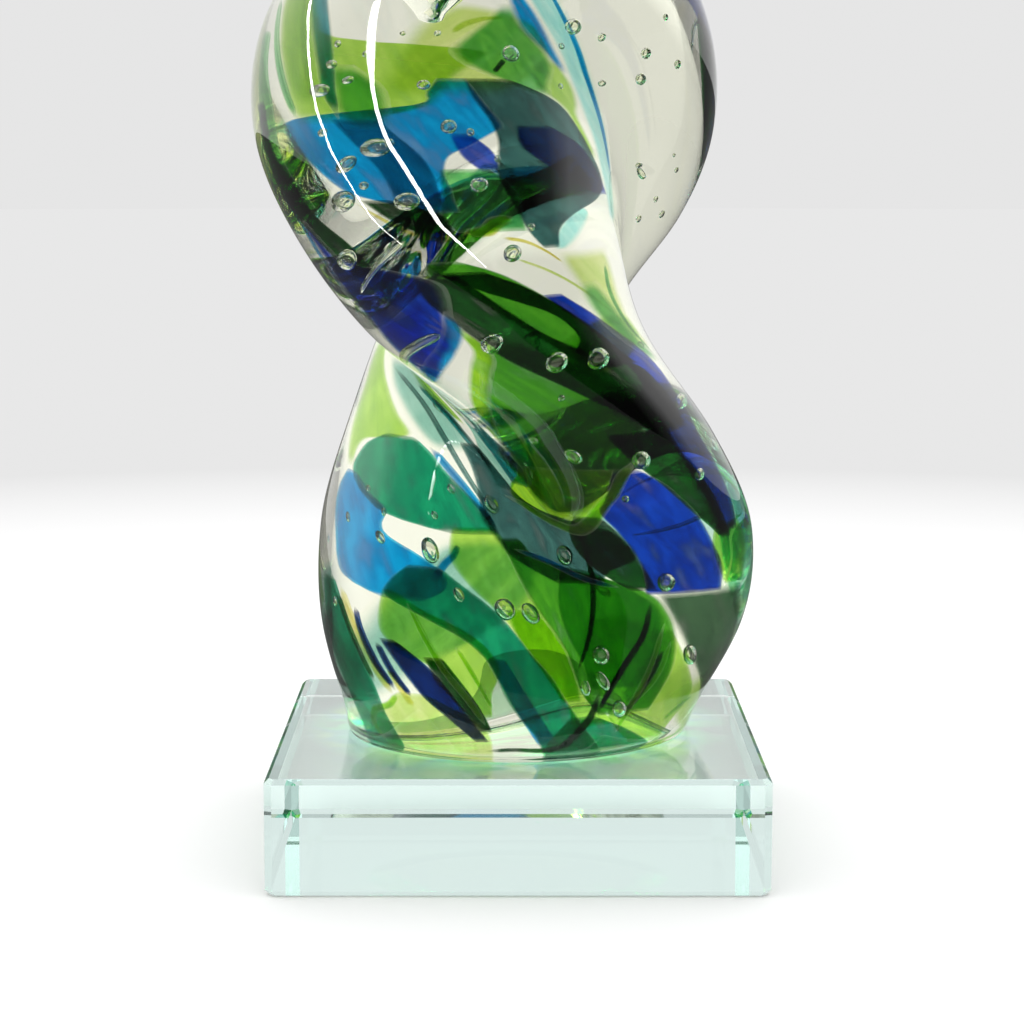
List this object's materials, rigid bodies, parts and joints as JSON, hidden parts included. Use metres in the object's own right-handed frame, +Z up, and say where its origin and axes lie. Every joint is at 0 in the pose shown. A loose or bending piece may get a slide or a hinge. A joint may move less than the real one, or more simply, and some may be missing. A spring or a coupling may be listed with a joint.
{
  "type": "art glass vase",
  "caption": "Heavy clear glass vase with two twisted lobes, inner patches of colour, a small flower well and a square glass block base.",
  "frame": {"origin": "middle of the block's flat underside", "axes": "+Z up through the block and the body, -Y towards the front, +X to the right as seen from the front"},
  "size_m": [0.1047, 0.1, 0.2389],
  "materials": {
    "clear_glass": "clear, faintly straw tinted, fire polished, with air bubbles",
    "block_glass": "clear with a pale aqua tint, ground and polished flat, chamfered rims",
    "bond_film": "clear cured adhesive film",
    "cobalt_glass": "transparent coloured glass inside clear glass",
    "azure_glass": "transparent coloured glass inside clear glass",
    "teal_glass": "transparent coloured glass inside clear glass",
    "pale_cyan_glass": "transparent coloured glass inside clear glass",
    "green_glass": "transparent coloured glass inside clear glass",
    "forest_glass": "transparent coloured glass inside clear glass",
    "lime_glass": "transparent coloured glass inside clear glass",
    "smoke_slate_glass": "transparent coloured glass inside clear glass",
    "navy_glass": "transparent coloured glass inside clear glass"
  },
  "bodies": {
    "root": {"base_block": "block_glass", "bond_film": "bond_film", "outer_casing": "clear_glass", "inner_core": "clear_glass", "foot_straw_sweep": "lime_glass", "foot_navy_streak": "navy_glass", "azure_wave": "azure_glass", "teal_arc": "teal_glass", "shoulder_lime": "lime_glass", "belly_lime_right": "lime_glass", "belly_green": "green_glass", "slate_blob": "smoke_slate_glass", "cobalt_dome": "cobalt_glass", "side_cobalt": "cobalt_glass", "smoke_flank": "smoke_slate_glass", "tip_low": "lime_glass", "tip_green": "green_glass", "navy_shoulder": "cobalt_glass", "black_band": "forest_glass", "lens_green": "green_glass", "azure_band": "azure_glass", "scallop_green": "green_glass", "slate_oval": "smoke_slate_glass", "oval_violet": "cobalt_glass", "crown_lime": "lime_glass", "crown_green": "green_glass", "crown_azure": "azure_glass", "crown_cyan": "pale_cyan_glass", "back_forest": "lime_glass", "back_azure": "pale_cyan_glass", "back_lime": "lime_glass", "back_cobalt": "azure_glass", "back_green": "lime_glass", "neck_green": "green_glass", "neck_azure": "azure_glass", "foot_forest_streak": "forest_glass", "foot_teal": "teal_glass", "edge_teal": "teal_glass", "teal_wave": "teal_glass", "wave_edge": "azure_glass", "shoulder_haze": "pale_cyan_glass", "belly_lime_left": "lime_glass", "acid_glow": "lime_glass", "black_shadow": "forest_glass", "side_lime": "lime_glass", "foot_lime_right": "lime_glass", "tip_side_haze": "pale_cyan_glass", "tip_side_sea": "teal_glass", "rim_straw": "lime_glass", "rim_leaf": "green_glass", "edge_green": "forest_glass", "edge_leaf": "green_glass", "band_sea": "teal_glass", "violet_blob": "cobalt_glass", "scallop_forest": "forest_glass", "crown_straw": "lime_glass"}
  },
  "joints": []
}
